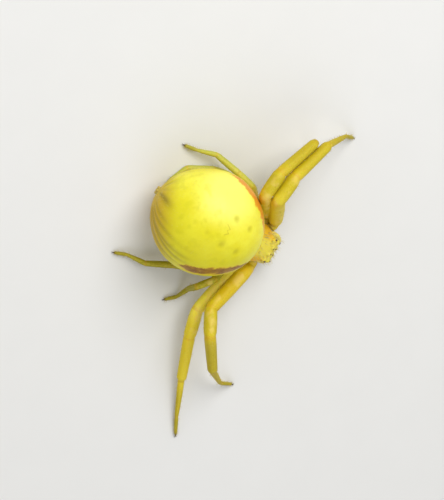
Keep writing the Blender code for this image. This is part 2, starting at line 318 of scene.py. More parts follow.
legPlan = {
    "coxaStarts": {1: (1.84, 1.08, 1.14), 2: (1.30, 1.16, 1.02),
                   3: (0.78, 1.14, 0.91), 4: (0.26, 0.93, 0.88)},
    "hips": {1: (2.02, 1.49, 1.06), 2: (1.36, 1.68, 0.92),
             3: (0.74, 1.64, 0.83), 4: (0.10, 1.28, 0.84)},
    "lengths": {1: (4.0, 1.7, 3.2, 2.45, 1.25), 2: (3.9, 1.75, 3.15, 2.65, 1.35),
                3: (2.3, 1.15, 1.7, 1.25, 0.8), 4: (2.4, 1.1, 1.7, 1.25, 0.8)},
    "poses": {
        "leg_left_1": ((53, 50), (1, 2), (-26, -26), -59, (-84, -45)),
        "leg_left_2": ((60, 50), (8, 16), (-28, -25), -129, (-141, -30)),
        "leg_left_3": ((55, 27), (80, -21), (84, -25), 112, (103, -20)),
        "leg_left_4": ((57, -14), (101, -3), (118, -1), 158, (188, -5)),
        "leg_right_1": ((157, 27), (203, 33), (227, -25), 248, (281, -34)),
        "leg_right_2": ((167, 10), (201, -3), (210, -13), 212, (216, -10)),
        "leg_right_3": ((152, 42), (138, 10), (206, -66), 183, (135, -5)),
        "leg_right_4": ((149, 3), (116, -7), (120, -9), 98, (116, -14)),
    },
    "footHeight": 0.1,
    # widest radius of coxa, femur, patella, tibia, metatarsus and tarsus
    "radii": {1: (0.35, 0.445, 0.41, 0.35, 0.215, 0.125),
              2: (0.34, 0.41, 0.40, 0.345, 0.21, 0.12),
              3: (0.26, 0.26, 0.225, 0.205, 0.165, 0.12),
              4: (0.26, 0.26, 0.225, 0.205, 0.165, 0.12)},
    # legs seen from their broad side, segment by segment
    "broader": {"leg_left_1": (1.0, 1.02, 1.11, 1.05, 1.0, 1.0),
                "leg_left_2": (1.0, 1.05, 1.04, 1.0, 1.0, 1.0)},
    # how much each front leg is lightened: its own paleness, and painted light on right leg two,
    # which lies in shade
    "pale": {"leg_right_2": 1.0, "leg_right_1": 0.0, "leg_left_1": 0.25, "leg_left_2": 0.1},
    # how each segment fills out along its length: share of length, share of radius
    "shapes": (
        ((0.0, 0.9), (0.45, 1.0), (0.8, 0.95), (0.95, 0.8)),
        ((0.02, 0.66), (0.08, 0.86), (0.2, 0.98), (0.42, 1.0), (0.68, 1.0),
         (0.87, 0.96), (0.95, 0.93), (0.985, 0.86)),
        ((0.02, 0.88), (0.1, 0.96), (0.35, 1.0), (0.7, 1.0), (0.9, 0.97), (0.975, 0.88)),
        ((0.015, 1.0), (0.07, 1.05), (0.25, 1.03), (0.6, 0.97), (0.85, 0.91),
         (0.95, 0.89), (0.985, 0.79)),
        ((0.01, 0.93), (0.05, 1.0), (0.3, 0.95), (0.7, 0.76), (0.92, 0.64), (0.985, 0.54)),
        ((0.03, 0.92), (0.12, 1.0), (0.5, 0.95), (0.85, 0.82), (0.96, 0.66), (1.0, 0.3)),
    ),
    "step": 0.07,
    "sides": 24,
    "bend": 0.16,
}


headTurn = Matrix.Rotation(math.radians(headPlan["turn"]), 3, "Z")
headRear = Vector((*headPlan["rear"], 0.0))


def headPoint(ahead, out, height):
    return headTurn @ Vector((out, -ahead, height)) + headRear


def direction(heading, rise):
    heading, rise = math.radians(heading), math.radians(rise)
    return Vector((math.cos(rise) * math.cos(heading), math.cos(rise) * math.sin(heading),
                   math.sin(rise)))


def legJoints(name):
    # coxa start, hip, knee and the other joints down to the foot on the floor
    side, number = (1 if "left" in name else -1), int(name[-1])
    lengths = legPlan["lengths"][number]
    femur, patella, tibia, metatarsusHeading, tarsus = legPlan["poses"][name]
    ahead, out, height = legPlan["coxaStarts"][number]
    joints = [headPoint(ahead, side * out, height)]
    ahead, out, height = legPlan["hips"][number]
    joints.append(headPoint(ahead, side * out, height))
    for length, turns in zip(lengths, (femur, patella, tibia)):
        joints.append(joints[-1] + length * direction(*turns))
    tarsusStep = lengths[4] * direction(*tarsus)
    drop = joints[-1].z + tarsusStep.z - legPlan["footHeight"]
    rise = -math.degrees(math.asin(drop / lengths[3]))
    joints.append(joints[-1] + lengths[3] * direction(metatarsusHeading, rise))
    joints.append(joints[-1] + tarsusStep)
    return joints


def softened(values, width, step):
    # a running average that leaves both ends where they are
    reach = max(1, int(round(width / step)))
    kernel = np.hanning(2 * reach + 3)[1:-1]
    kernel /= kernel.sum()
    padded = np.concatenate([2 * values[:1] - values[reach:0:-1], values,
                             2 * values[-1:] - values[-2:-reach - 2:-1]])
    columns = padded.reshape(len(padded), -1).T
    return np.stack([np.convolve(column, kernel, mode="valid")
                     for column in columns], 1).reshape(values.shape)


def limbRun(joints, radii, shapes, step, bend):
    # centre line, radius and place along the limb, close enough together for a smooth skin
    points, along, tableAlong, tableRadius = [], [], [], []
    for index, (start, end) in enumerate(zip(joints, joints[1:])):
        count = max(2, int(round((end - start).length / step)))
        last = index == len(joints) - 2
        for share in np.linspace(0, 1, count + 1)[:None if last else -1]:
            points.append(tuple(start.lerp(end, share)))
            along.append(index + share)
        for share, fullness in shapes[index]:
            tableAlong.append(index + share)
            tableRadius.append(radii[index] * fullness)
    points, along = np.array(points), np.array(along)
    radius = np.interp(along, tableAlong, tableRadius)
    return {"points": softened(points, bend, step), "along": along,
            "radius": softened(radius, step * 1.2, step)}


def limbTube(name, run, sides):
    # a curve with a thickness at each point, turned into a closed skin
    clearSelection()
    bpy.ops.curve.primitive_bezier_curve_add()
    tube = startPiece(name)
    curve = tube.data
    curve.splines.clear()
    spline = curve.splines.new("POLY")
    spline.points.add(len(run["points"]) - 1)
    flat = np.concatenate([run["points"], np.ones((len(run["points"]), 1))], 1)
    spline.points.foreach_set("co", flat.ravel())
    spline.points.foreach_set("radius", run["radius"])
    curve.dimensions = "3D"
    curve.bevel_depth = 1.0
    curve.bevel_resolution = (sides - 4) // 2
    curve.use_fill_caps = True
    bpy.ops.object.convert(target="MESH")
    faceOutward(tube)
    return tube


legRuns = {}
for legName in legPlan["poses"]:
    legRadii = legPlan["radii"][int(legName[-1])]
    legRadii = [radius * share for radius, share
                in zip(legRadii, legPlan["broader"].get(legName, (1.0,) * 6))]
    legRuns[legName] = limbRun(legJoints(legName), legRadii, legPlan["shapes"],
                               legPlan["step"], legPlan["bend"])
print("stage: legs laid out")


# the part that carries the legs, with palps and jaws
prosomaPlan = {
    # rings from the rim up to the crown and down to the sternum:
    # height, middle ahead, half length, half width
    "rim": (1.62, 1.27, 1.31, 1.31),
    "crown": ((1.80, 1.275, 1.285, 1.28), (1.98, 1.305, 1.205, 1.20), (2.14, 1.32, 1.09, 1.06),
              (2.27, 1.305, 0.93, 0.86), (2.37, 1.255, 0.72, 0.62), (2.43, 1.19, 0.45, 0.36),
              (2.455, 1.13, 0.20, 0.16)),
    "under": ((1.54, 1.27, 1.25, 1.23), (1.46, 1.26, 1.08, 0.92), (1.25, 1.24, 0.98, 0.74),
              (0.95, 1.22, 0.90, 0.66), (0.76, 1.22, 0.74, 0.52), (0.68, 1.22, 0.45, 0.30)),
    "outlineSquareness": 2.35,
    # how much narrower the head is than the body behind it
    "taper": 0.20,
    "taperReach": (-0.2, 0.7),
    "sides": 96,
    "voxel": 0.034,
    "smoothing": (0.5, 10),
    # low mounds, as distance ahead, out, height and radius
    "mounds": ((2.28, 0.60, 2.10, 0.20), (2.02, 0.66, 2.20, 0.18), (2.32, 0.34, 2.08, 0.16),
               (2.12, 0.24, 2.26, 0.16), (2.18, 0.44, 2.18, 0.17), (2.42, 0.22, 1.90, 0.21),
               (2.36, 0.52, 1.86, 0.20)),
}

palpPlan = {
    "joints": ((1.80, 0.62, 1.46), (1.95, 0.88, 1.62), (2.24, 0.90, 1.62),
               (2.66, 0.68, 1.38), (2.86, 0.42, 0.94)),
    "radii": (0.17, 0.18, 0.17, 0.16),
    "shapes": (((0.0, 0.9), (0.6, 1.1), (0.94, 1.0)), ((0.05, 1.0), (0.5, 1.0), (0.93, 0.85)),
               ((0.05, 0.9), (0.5, 1.05), (0.93, 0.9)),
               ((0.04, 0.9), (0.35, 1.0), (0.7, 0.85), (0.9, 0.55), (1.0, 0.25))),
    "step": 0.04,
    "sides": 20,
    "bend": 0.12,
}

jawPlan = {
    "joints": ((2.36, 0.19, 1.72), (2.56, 0.20, 1.30), (2.62, 0.17, 0.62)),
    "radii": (0.27, 0.25),
    "shapes": (((0.0, 0.8), (0.5, 0.95)),
               ((0.0, 1.0), (0.35, 1.0), (0.75, 0.82), (0.94, 0.6), (1.0, 0.4))),
    "step": 0.05,
    "sides": 20,
    "bend": 0.15,
}


def buildProsoma():
    plan = prosomaPlan
    height, ahead, halfLength, halfWidth = plan["rim"]
    clearSelection()
    bpy.ops.mesh.primitive_circle_add(vertices=plan["sides"], radius=1.0, fill_type="NGON",
                                      location=(0, 0, 0))
    prosoma = startPiece("bodySkin")
    places = pointsOf(prosoma)
    power = plan["outlineSquareness"]
    front = places[:, 1] < 0
    grown = (np.abs(places[:, 0]) ** power + np.abs(places[:, 1]) ** power) ** (-1 / power)
    places[front] *= grown[front, None]
    places[:, 0] *= 1 - plan["taper"] * smoothStep(*plan["taperReach"], -places[:, 1])
    places = places * (halfWidth, halfLength, 1) + (0, -ahead, height)
    movePoints(prosoma, places)
    for rings in (plan["crown"], plan["under"]):
        stackRings(prosoma, plan["rim"], rings)
    faceOutward(prosoma)
    joinPieces(prosoma, [addBall("mound", (side * out, -ahead, height), radius)
                         for ahead, out, height, radius in plan["mounds"] for side in (1, -1)])
    applyModifier(prosoma, "REMESH", mode="VOXEL", voxel_size=plan["voxel"])
    factor, times = plan["smoothing"]
    applyModifier(prosoma, "SMOOTH", factor=factor, iterations=times)
    prosoma.rotation_euler = (0, 0, math.radians(headPlan["turn"]))
    prosoma.location = headRear
    applyPlace(prosoma)
    return prosoma


def stackRings(piece, start, rings):
    # the flat face at the start ring is extruded ring by ring, up or down
    selectOnly(piece)
    bpy.ops.object.mode_set(mode="EDIT")
    bpy.ops.mesh.select_mode(type="FACE")
    bpy.ops.mesh.select_all(action="DESELECT")
    bpy.ops.object.mode_set(mode="OBJECT")
    flat = [face for face in piece.data.polygons
            if len(face.vertices) == prosomaPlan["sides"]]
    flat[-1].select = True
    bpy.ops.object.mode_set(mode="EDIT")
    if len(flat) == 1 and start[0] < rings[0][0]:
        bpy.ops.mesh.duplicate()
        bpy.ops.mesh.flip_normals()
    before = start
    for ring in rings:
        bpy.ops.mesh.extrude_region_move(TRANSFORM_OT_translate={
            "value": (0, before[1] - ring[1], ring[0] - before[0])})
        bpy.ops.transform.resize(value=(ring[3] / before[3], ring[2] / before[2], 1),
                                 center_override=(0, -ring[1], ring[0]))
        before = ring
    bpy.ops.object.mode_set(mode="OBJECT")


def headRun(plan, side):
    joints = [headPoint(ahead, side * out, height) for ahead, out, height in plan["joints"]]
    return limbRun(joints, plan["radii"], plan["shapes"], plan["step"], plan["bend"])


palpRuns = [headRun(palpPlan, side) for side in (1, -1)]
jawRuns = [headRun(jawPlan, side) for side in (1, -1)]


def buildBodySkin():
    skin = buildProsoma()
    tubes = [limbTube(name, run, legPlan["sides"]) for name, run in legRuns.items()]
    tubes += [limbTube("palp", run, palpPlan["sides"]) for run in palpRuns]
    tubes += [limbTube("jaw", run, jawPlan["sides"]) for run in jawRuns]
    skin = uniteWith(skin, tubes)
    places = pointsOf(skin)
    places[:, 2] = np.maximum(places[:, 2], 0.0)  # flat under the feet
    movePoints(skin, places)
    return skin


bodySkin = buildBodySkin()
print("stage: body skin modelled,", len(bodySkin.data.polygons), "faces")


def nearestOn(run, places):
    # distance from each place to the run's centre line, less its radius, and where that is
    gaps = np.empty(len(places))
    which = np.empty(len(places), int)
    for start in range(0, len(places), 4000):
        part = places[start:start + 4000]
        away = np.linalg.norm(part[:, None] - run["points"][None], axis=2) - run["radius"]
        which[start:start + 4000] = away.argmin(1)
        gaps[start:start + 4000] = away.min(1)
    return gaps, which


def markSkin(skin):
    # for the paint: place along the limb, kind of part, front leg or not, paleness with painted
    # light, upper side
    places = pointsOf(skin)
    marks = {name: np.zeros(len(places)) for name in ("along", "kind", "frontLeg", "pale", "upper")}
    marks["along"] -= 1
    best = np.full(len(places), 0.03)
    runs = [(run, 1, int(name[-1]) <= 2, legPlan["pale"].get(name, 0.0))
            for name, run in legRuns.items()]
    runs += [(run, 2, 0, 0) for run in palpRuns] + [(run, 3, 0, 0) for run in jawRuns]
    for run, kind, front, pale in runs:
        gaps, which = nearestOn(run, places)
        near = np.abs(gaps) < best
        best[near], which = np.abs(gaps)[near], which[near]
        rise = (places[near] - run["points"][which])[:, 2]
        upper = rise / np.maximum(run["radius"][which], 1e-6)
        for name, values in zip(marks, (run["along"][which], kind, front, pale, upper)):
            marks[name][near] = values
    for name, values in marks.items():
        giveAttribute(skin, name, values)


markSkin(bodySkin)
print("stage: body skin marked for its paint")


spinneretPlan = {
    "base": (-0.2, 3.05, 2.1),
    "axis": (0.0, 0.93, -0.37),
    "baseRadius": 0.40,
    "cones": 6,
    "spread": 0.20,
    "length": 0.46,
    "radii": (0.145,),
    "shape": (((0.0, 0.8), (0.3, 1.0), (0.62, 0.9), (0.7, 0.74), (0.9, 0.62), (1.0, 0.3)),),
}

# abdomen, with its stalk
abdomenPlan = {
    "halfLength": 3.5,
    "halfWidth": 3.25,
    "rise": 2.95,
    "drop": 3.15,
    "midHeight": 3.0,
    "planPower": 1.9,
    "sidePower": 2.2,
    # how far the middle drifts to the right for each millimetre to the rear
    "drift": 0.035,
    "segments": 200,
    "rings": 150,
    # the pattern's midline is rolled a little towards the left side
    "roll": 7.7,
    # dimples in the rolled pattern: out, along, radius, depth
    "dimples": ((0.90, -0.28, 0.19, 0.055), (0.80, -1.43, 0.18, 0.050), (0.72, 0.90, 0.15, 0.026),
                (0.55, 1.80, 0.13, 0.020)),
    # the crooked mark in the middle, from its left end to its right
    "centreMark": ((0.34, 0.10), (0.15, -0.20), (0.02, -0.08), (-0.12, -0.24), (-0.30, -0.06)),
    "centreDepth": 0.016,
    "centreRadius": 0.11,
    "dimpleRim": 0.2,
    # shallow swells: depth, then two waves with their rates along x, y, z and a shift
    "swells": ((0.022, (1.3, 0.7, 0.0, 0.0), (0.0, 1.1, -0.8, 1.0)),
               (0.012, (2.9, -1.9, 0.0, 0.5), (0.0, 2.3, 1.7, 0.0))),
    # creases on the lower flanks: from where behind, below and above; depth
    "creaseReach": ((0.5, 2.2), (2.4, 3.4), (0.5, 1.2)),
    "creaseDepth": 0.010,
    # folds round the spinnerets: turn, half width, depth, where they start and end
    "folds": ((91, 8, 1.0, 0.35, 2.3), (62, 6, 0.4, 0.4, 1.7), (32, 7, 0.6, 0.4, 1.7),
              (2, 7, 0.6, 0.4, 1.6), (-30, 8, 0.5, 0.4, 1.5), (118, 4, 0.5, 0.6, 2.6),
              (131, 3.5, 0.6, 0.7, 3.0), (142, 3, 0.7, 0.8, 3.3), (151, 2.6, 0.8, 0.8, 3.5),
              (160, 2.6, 0.8, 0.8, 3.5), (169, 2.8, 0.7, 0.8, 3.4), (180, 4, 0.6, 0.7, 3.0),
              (198, 6, 0.6, 0.5, 2.4), (222, 8, 0.6, 0.4, 2.0), (252, 9, 0.5, 0.4, 1.6)),
    "foldReach": 0.045,
    # the middle of the folds along and up, and which way they face
    "foldCentre": (3.35, 2.2),
    "foldFacing": (0.37, 0.93),
    # how softly the underside meets the floor, from what height, and what counts as on it
    "floorSoftness": 0.05,
    "floorReach": 0.4,
    "floorSnap": 0.035,
    "stalkRadius": 0.3,
    "stalkHeight": 1.2,
    "stalkReach": (-1.9, -3.0),
}


def patternPoint(out, along):
    # a place on the abdomen's upper side, given in the rolled pattern
    plan = abdomenPlan
    share = along / plan["halfLength"]
    width = plan["halfWidth"] * (1 - abs(share) ** plan["planPower"]) ** (1 / plan["planPower"])
    rise = plan["rise"] * math.sqrt(1 - abs(share) ** plan["sidePower"])
    angle = math.radians(plan["roll"]) + math.asin(out / width)
    return Vector((width * math.sin(angle), along, plan["midHeight"] + rise * math.cos(angle)))


def buildAbdomen():
    plan = abdomenPlan
    abdomen = addBall("abdomenSkin", (0, 0, 0), 1.0, plan["segments"], plan["rings"])
    abdomen.rotation_euler = (math.pi / 2, 0, 0)
    applyPlace(abdomen)
    ball = pointsOf(abdomen)
    share = np.clip(ball[:, 1], -1, 1)
    around = np.arctan2(ball[:, 2], ball[:, 0])
    width = (1 - np.abs(share) ** plan["planPower"]) ** (1 / plan["planPower"])
    upright = np.sqrt(1 - np.abs(share) ** plan["sidePower"])
    lift = np.where(np.sin(around) > 0, plan["rise"], plan["drop"])
    drift = plan["drift"] * plan["halfLength"] * (1 + share)
    places = np.stack([plan["halfWidth"] * width * np.cos(around) - drift,
                       plan["halfLength"] * share,
                       plan["midHeight"] + lift * upright * np.sin(around)], 1)
    movePoints(abdomen, places)
    faceOutward(abdomen)
    places, normals = pointsOf(abdomen), normalsOf(abdomen)
    places = places + normals * abdomenRelief(places)[:, None]
    soft, height = plan["floorSoftness"], places[:, 2]
    eased = np.maximum(soft * np.log1p(np.exp(height / soft)), 0.0)
    height = np.where(height < plan["floorReach"], eased, height)
    places[:, 2] = np.where(height < plan["floorSnap"], 0.0, height)
    movePoints(abdomen, places)
    start, end = plan["stalkReach"]
    joints = [Vector((0, start, plan["stalkHeight"])), Vector((0, end, plan["stalkHeight"]))]
    stalk = limbTube("stalk", limbRun(joints, (plan["stalkRadius"],), (((0, 1.2), (1, 1.0)),),
                                      0.08, 0.1), 20)
    return uniteWith(abdomen, [stalk])


def foldDepth(places):
    # the folds that spread from the spinnerets, 0 to 1 in depth
    plan = abdomenPlan
    x, y, z = places.T
    across = x - spinneretPlan["base"][0]
    (middleAlong, middleUp), (back, top) = plan["foldCentre"], plan["foldFacing"]
    lift = back * (y - middleAlong) + top * (z - middleUp)
    reach, turn = np.hypot(across, lift), np.degrees(np.arctan2(lift, across))
    depth = np.zeros(len(places))
    for middle, width, full, near, far in plan["folds"]:
        wave = 2.5 * np.sin(2.1 * reach + middle)
        away = (turn - middle - wave + 180) % 360 - 180
        fade = smoothStep(near, near + 0.4, reach) * (1 - smoothStep(far - 0.9, far, reach))
        depth = np.maximum(depth, full * fade * np.exp(-(away / width) ** 2))
    return depth * smoothStep(0.2, 1.2, y)


def abdomenRelief(places):
    # dimples, soft unevenness and the folds behind, in millimetres along the normal
    plan = abdomenPlan
    height = np.zeros(len(places))
    for out, along, radius, depth in plan["dimples"]:
        for side in (1, -1):
            gap = np.linalg.norm(places - np.array(patternPoint(side * out, along)), axis=1)
            height -= depth * np.exp(-(gap / radius) ** 2)
            height += depth * plan["dimpleRim"] * np.exp(-((gap - 2 * radius) / radius) ** 2)
    for out, along in plan["centreMark"]:
        gap = np.linalg.norm(places - np.array(patternPoint(out, along)), axis=1)
        height -= plan["centreDepth"] * np.exp(-(gap / plan["centreRadius"]) ** 2)
    for depth, *waves in plan["swells"]:
        swell = np.full(len(places), depth)
        for *rates, shift in waves:
            swell *= np.sin(places @ rates + shift)
        height += swell
    height -= plan["foldReach"] * foldDepth(places)
    y, z = places[:, 1], places[:, 2]
    behind, below, above = plan["creaseReach"]
    flank = smoothStep(*behind, y) * (1 - smoothStep(*below, z)) * smoothStep(*above, z)
    height += plan["creaseDepth"] * flank * np.sin(9.0 * z + 3.0 * y + 1.2 * np.sin(2.0 * y))
    return height


abdomenSkin = buildAbdomen()
# the fold depth, which paints shade into the folds
giveAttribute(abdomenSkin, "foldShade", foldDepth(pointsOf(abdomenSkin)))
print("stage: abdomen modelled,", len(abdomenSkin.data.polygons), "faces")


def buildSpinnerets():
    plan = spinneretPlan
    centre, axis = Vector(plan["base"]), Vector(plan["axis"]).normalized()
    across = Vector((1, 0, 0))
    upward = across.cross(axis)
    base = addBall("spinneretSkin", centre, plan["baseRadius"], 40, 28)
    applyPlace(base)
    cones = []
    for turn in range(plan["cones"]):
        angle = 2 * math.pi * (turn + 0.5) / plan["cones"]
        spread = (across * math.cos(angle) + upward * math.sin(angle)) * plan["spread"]
        joints = [centre + spread * 0.6, centre + spread + axis * plan["length"]]
        run = limbRun(joints, plan["radii"], plan["shape"], 0.03, 0.05)
        cones.append(limbTube("cone", run, 16))
    return uniteWith(base, cones)


spinneretSkin = buildSpinnerets()


eyePlan = {
    # ahead, out, height and radius of the four on each side
    "places": ((2.46, 0.20, 2.08, 0.062), (2.22, 0.19, 2.34, 0.054), (2.46, 0.62, 2.12, 0.078),
               (2.10, 0.74, 2.32, 0.066)),
}


def buildEyes():
    eyes = [addBall("eye", headPoint(ahead, side * out, height), radius)
            for ahead, out, height, radius in eyePlan["places"] for side in (1, -1)]
    eyes[0].name = "eyes"
    return joinPieces(eyes[0], eyes[1:])


eyes = buildEyes()
print("stage: eyes and spinnerets modelled")


clawPlan = {
    # centre line of one claw of length 1: ahead and up, then its radii
    "line": ((0.0, 0.0), (0.3, 0.06), (0.62, 0.0), (0.88, -0.2), (1.0, -0.45)),
    "radii": (0.15, 0.14, 0.11, 0.07, 0.03),
    "length": {1: 0.17, 2: 0.17, 3: 0.13, 4: 0.13},
    "splay": 20.0,
}

fangPlan = {
    "line": ((2.62, 0.17, 0.70), (2.63, 0.15, 0.58), (2.60, 0.10, 0.50), (2.54, 0.05, 0.46)),
    "radii": (0.07, 0.055, 0.035, 0.015),
}


def arcTube(name, points, radii, sides):
    # a tapered tube through a few points
    run = {"points": np.array([tuple(point) for point in points]), "radius": np.array(radii)}
    return limbTube(name, run, sides)


def copyOf(piece):
    # a copy with its own mesh
    copy = piece.copy()
    copy.data = piece.data.copy()
    bpy.context.scene.collection.objects.link(copy)
    return copy


def facing(place, ahead, outward, size):
    # a place with its X ahead and its Z outward
    across = outward.cross(ahead).normalized()
    outward = outward.normalized()
    turned = Matrix((across.cross(outward), across, outward)).transposed().to_4x4()
    return Matrix.Translation(place) @ turned @ Matrix.Scale(size, 4)


def buildClaws():
    model = arcTube("claws", [Vector((ahead, 0, up)) for ahead, up in clawPlan["line"]],
                    clawPlan["radii"], 8)
    claws = []
    for name, run in legRuns.items():
        tip, before = Vector(run["points"][-1]), Vector(run["points"][-4])
        heading = math.atan2((tip - before).y, (tip - before).x)
        for side in (1, -1):
            turn = heading + side * math.radians(clawPlan["splay"])
            ahead = Vector((math.cos(turn), math.sin(turn), 0))
            claw = copyOf(model)
            claw.matrix_world = facing(tip, ahead, Vector((0, 0, 1)),
                                       clawPlan["length"][int(name[-1])])
            claws.append(claw)
    bpy.data.objects.remove(model, do_unlink=True)
    return joinPieces(claws[0], claws[1:])


def buildFangs():
    fangs = [arcTube("fangs", [headPoint(ahead, side * out, height)
                               for ahead, out, height in fangPlan["line"]],
                     fangPlan["radii"], 10) for side in (1, -1)]
    return joinPieces(fangs[0], fangs[1:])


claws, fangs = buildClaws(), buildFangs()
print("stage: claws and fangs modelled")


bristlePlan = {
    # centre line of one bristle of length 1: lean ahead and height
    "line": ((0.0, -0.06), (0.10, 0.30), (0.30, 0.62), (0.62, 0.86)),
    "radii": (0.045, 0.040, 0.026, 0.006),
    "patch": 0.003,
    "seed": 7,
    # how many hairs, how long they are, and where along the limb or which way they lean
    "legHairs": {1: 300, 2: 300, 3: 170, 4: 170},
    "legLengths": (0.09, 0.19),
    "legReach": (1.15, 5.9),
    "footHairs": 16,
    "footLengths": (0.08, 0.15),
    "footReach": (5.75, 6.0),
    "abdomenHairs": 900,
    "abdomenLengths": (0.07, 0.13),
    "abdomenLean": (0, 1, -0.2),
    "headHairs": 150,
    "headLengths": (0.12, 0.34),
    "headLean": (0, -1, 0.3),
    # share of the limb's radius where they root, and the room they keep over the floor
    "rooting": 0.9,
    "clearance": 0.02,
    # spines: where along the limb, turn round it from below, length
    "spines": [(3.16 + 0.2 * k, turn, 0.22) for k in range(4) for turn in (-24, 24)]
    + [(4.10 + 0.14 * k, turn, 0.17) for k in range(6) for turn in (-26, 26)]
    + [(1.40, 180, 0.15), (1.62, 172, 0.16), (1.80, 186, 0.15), (2.55, 180, 0.14)],
    "spineRadii": (0.085, 0.075, 0.045, 0.012),
}
dice = random.Random(bristlePlan["seed"])


def modelBristle(name, radii):
    # one bristle with a small patch of its own on the bake map
    bristle = arcTube(name, [Vector((lean, 0, up)) for lean, up in bristlePlan["line"]], radii, 4)
    layer = bristle.data.uv_layers.new(name="OFBake")
    size = bristlePlan["patch"]
    for loop in bristle.data.loops:
        place = bristle.data.vertices[loop.vertex_index].co
        turn = math.atan2(place.y, place.x - 0.3) / (2 * math.pi) + 0.5
        layer.data[loop.index].uv = (size * turn, size * max(0.0, min(1.0, place.z)))
    return bristle


def plantBristles(name, radii, roots):
    # one bristle per root: place, outward, lean, length and corner of its patch
    model, planted = modelBristle(name, radii), []
    for place, outward, lean, length, corner in roots:
        bristle = copyOf(model)
        bristle.matrix_world = facing(place, lean, outward, length)
        patch = bristle.data.uv_layers["OFBake"].data
        spots = np.empty(len(patch) * 2, np.float32)
        patch.foreach_get("uv", spots)
        patch.foreach_set("uv", (spots.reshape(-1, 2) + corner).astype(np.float32).ravel())
        planted.append(bristle)
    bpy.data.objects.remove(model, do_unlink=True)
    planted[0].name = planted[0].data.name = name
    return joinPieces(planted[0], planted[1:])


def limbRoot(run, row, along, turn, length):
    # a root on a limb; the turn counts from its under side, the patch from the limb's row
    index = min(int(np.searchsorted(run["along"], along)), len(run["points"]) - 2)
    place = Vector(run["points"][index])
    forward = (Vector(run["points"][index + 1]) - Vector(run["points"][index - 1])).normalized()
    beside = forward.cross(Vector((0, 0, 1))).normalized()
    under = forward.cross(beside)
    angle = math.radians(turn)
    outward = under * math.cos(angle) + beside * math.sin(angle)
    root = place + outward * float(run["radius"][index]) * bristlePlan["rooting"]
    lean, rise = bristlePlan["line"][-1]
    if (root + (outward * rise + forward * lean) * length).z < bristlePlan["clearance"]:
        return None
    corner = (0.02 + 0.93 * along / 6, (row + 0.1 + 0.8 * ((turn % 360) / 360)) / 8)
    return root, outward, forward, length, corner


def legHairRoots():
    plan, roots = bristlePlan, []
    for row, (name, run) in enumerate(legRuns.items()):
        for count, reach, lengths in (
                (plan["legHairs"][int(name[-1])], plan["legReach"], plan["legLengths"]),
                (plan["footHairs"], plan["footReach"], plan["footLengths"])):
            roots += [limbRoot(run, row, dice.uniform(*reach), dice.uniform(0, 360),
                               dice.uniform(*lengths)) for k in range(count)]
    return [root for root in roots if root]


def spineRoots():
    roots = []
    for row, (name, run) in enumerate(legRuns.items()):
        if int(name[-1]) <= 2:
            roots += [limbRoot(run, row, along, turn, length)
                      for along, turn, length in bristlePlan["spines"]]
    return [root for root in roots if root]


def skinRoots(piece, count, lengths, wanted, lean):
    # roots at random points of a skin where wanted says so
    roots = []
    vertices = piece.data.vertices
    low, high = [Vector(pick(vertex.co[axis] for vertex in vertices) for axis in range(3))
                 for pick in (min, max)]
    while len(roots) < count:
        vertex = vertices[dice.randrange(len(vertices))]
        place, outward = vertex.co.copy(), vertex.normal.copy()
        if not wanted(place, outward):
            continue
        turned = math.atan2(place.x, place.z - (low.z + high.z) / 2) / (2 * math.pi) + 0.5
        corner = (0.01 + 0.97 * turned, 0.01 + 0.97 * (place.y - low.y) / (high.y - low.y))
        roots.append((place - outward * 0.004, outward, lean, dice.uniform(*lengths), corner))
    return roots


def onAbdomen(place, outward):
    return place.z > 0.7 and place.y > -3.1


def onHead(place, outward):
    # the upper side in front, thinner towards the middle
    head = headTurn.transposed() @ (place - headRear)
    return (outward.z > -0.2 and place.z > 1.0 and abs(head.x) < 1.0 and -2.8 < head.y < -0.9
            and head.y * head.y + 4 * head.x * head.x > dice.uniform(0.5, 5.0))


legHair = plantBristles("legHair", bristlePlan["radii"], legHairRoots())
legSpines = plantBristles("legSpines", bristlePlan["spineRadii"], spineRoots())
abdomenHair = plantBristles("abdomenHair", bristlePlan["radii"], skinRoots(
    abdomenSkin, bristlePlan["abdomenHairs"], bristlePlan["abdomenLengths"], onAbdomen,
    Vector(bristlePlan["abdomenLean"])))
headHair = plantBristles("headHair", bristlePlan["radii"], skinRoots(
    bodySkin, bristlePlan["headHairs"], bristlePlan["headLengths"], onHead,
    Vector(bristlePlan["headLean"])))
print("stage: hair and spines planted")


abdomenLook = {
    "base": (0.86, 0.77, 0.035),
    "bright": (0.91, 0.85, 0.06),
    "warm": (0.80, 0.68, 0.02),
    # golden: painted shade on the side away from the light
    "golden": (0.70, 0.63, 0.003),
    # crown: a painted highlight, the palest colour
    "crown": (0.99, 0.98, 0.20),
    "oliveShade": (0.60, 0.55, 0.006),
    # under and rear are partly their own warm tone and partly painted shade
    "under": (0.62, 0.44, 0.012),
    "leftRim": (0.60, 0.36, 0.004),
    "rear": (0.60, 0.36, 0.006),
    "foldShade": (0.27, 0.19, 0.006),
    "dimpleTintAndShade": (0.55, 0.48, 0.012),
    "mark": (0.42, 0.32, 0.012),
    # where the painted highlight sits, in the rolled pattern
    "highlightPlace": (2.05, 0.7),
    # the band on each side, in degrees above the flank: where it starts, how much higher on
    # the right, its slope for each millimetre forward, and where along it starts
    "band": (15.5, 5.5, 10.5, 0.2),
    # how far its edge wanders, and how much less on the right
    "bandWander": (28, 12),
    # half widths of the band and of its rim, and where both fade behind and in front
    "bandHalf": (7.5, 4.5),
    "rimHalf": (9.5, 5.0),
    "bandEnds": ((0.8, -0.4), (-3.2, -2.2)),
    "bandRim": (0.86, 0.44, 0.03),
    "bandLeft": (0.80, 0.28, 0.02),
    # the right band in a shaded tone, a painted shade
    "bandRightShaded": (0.24, 0.085, 0.006),
}


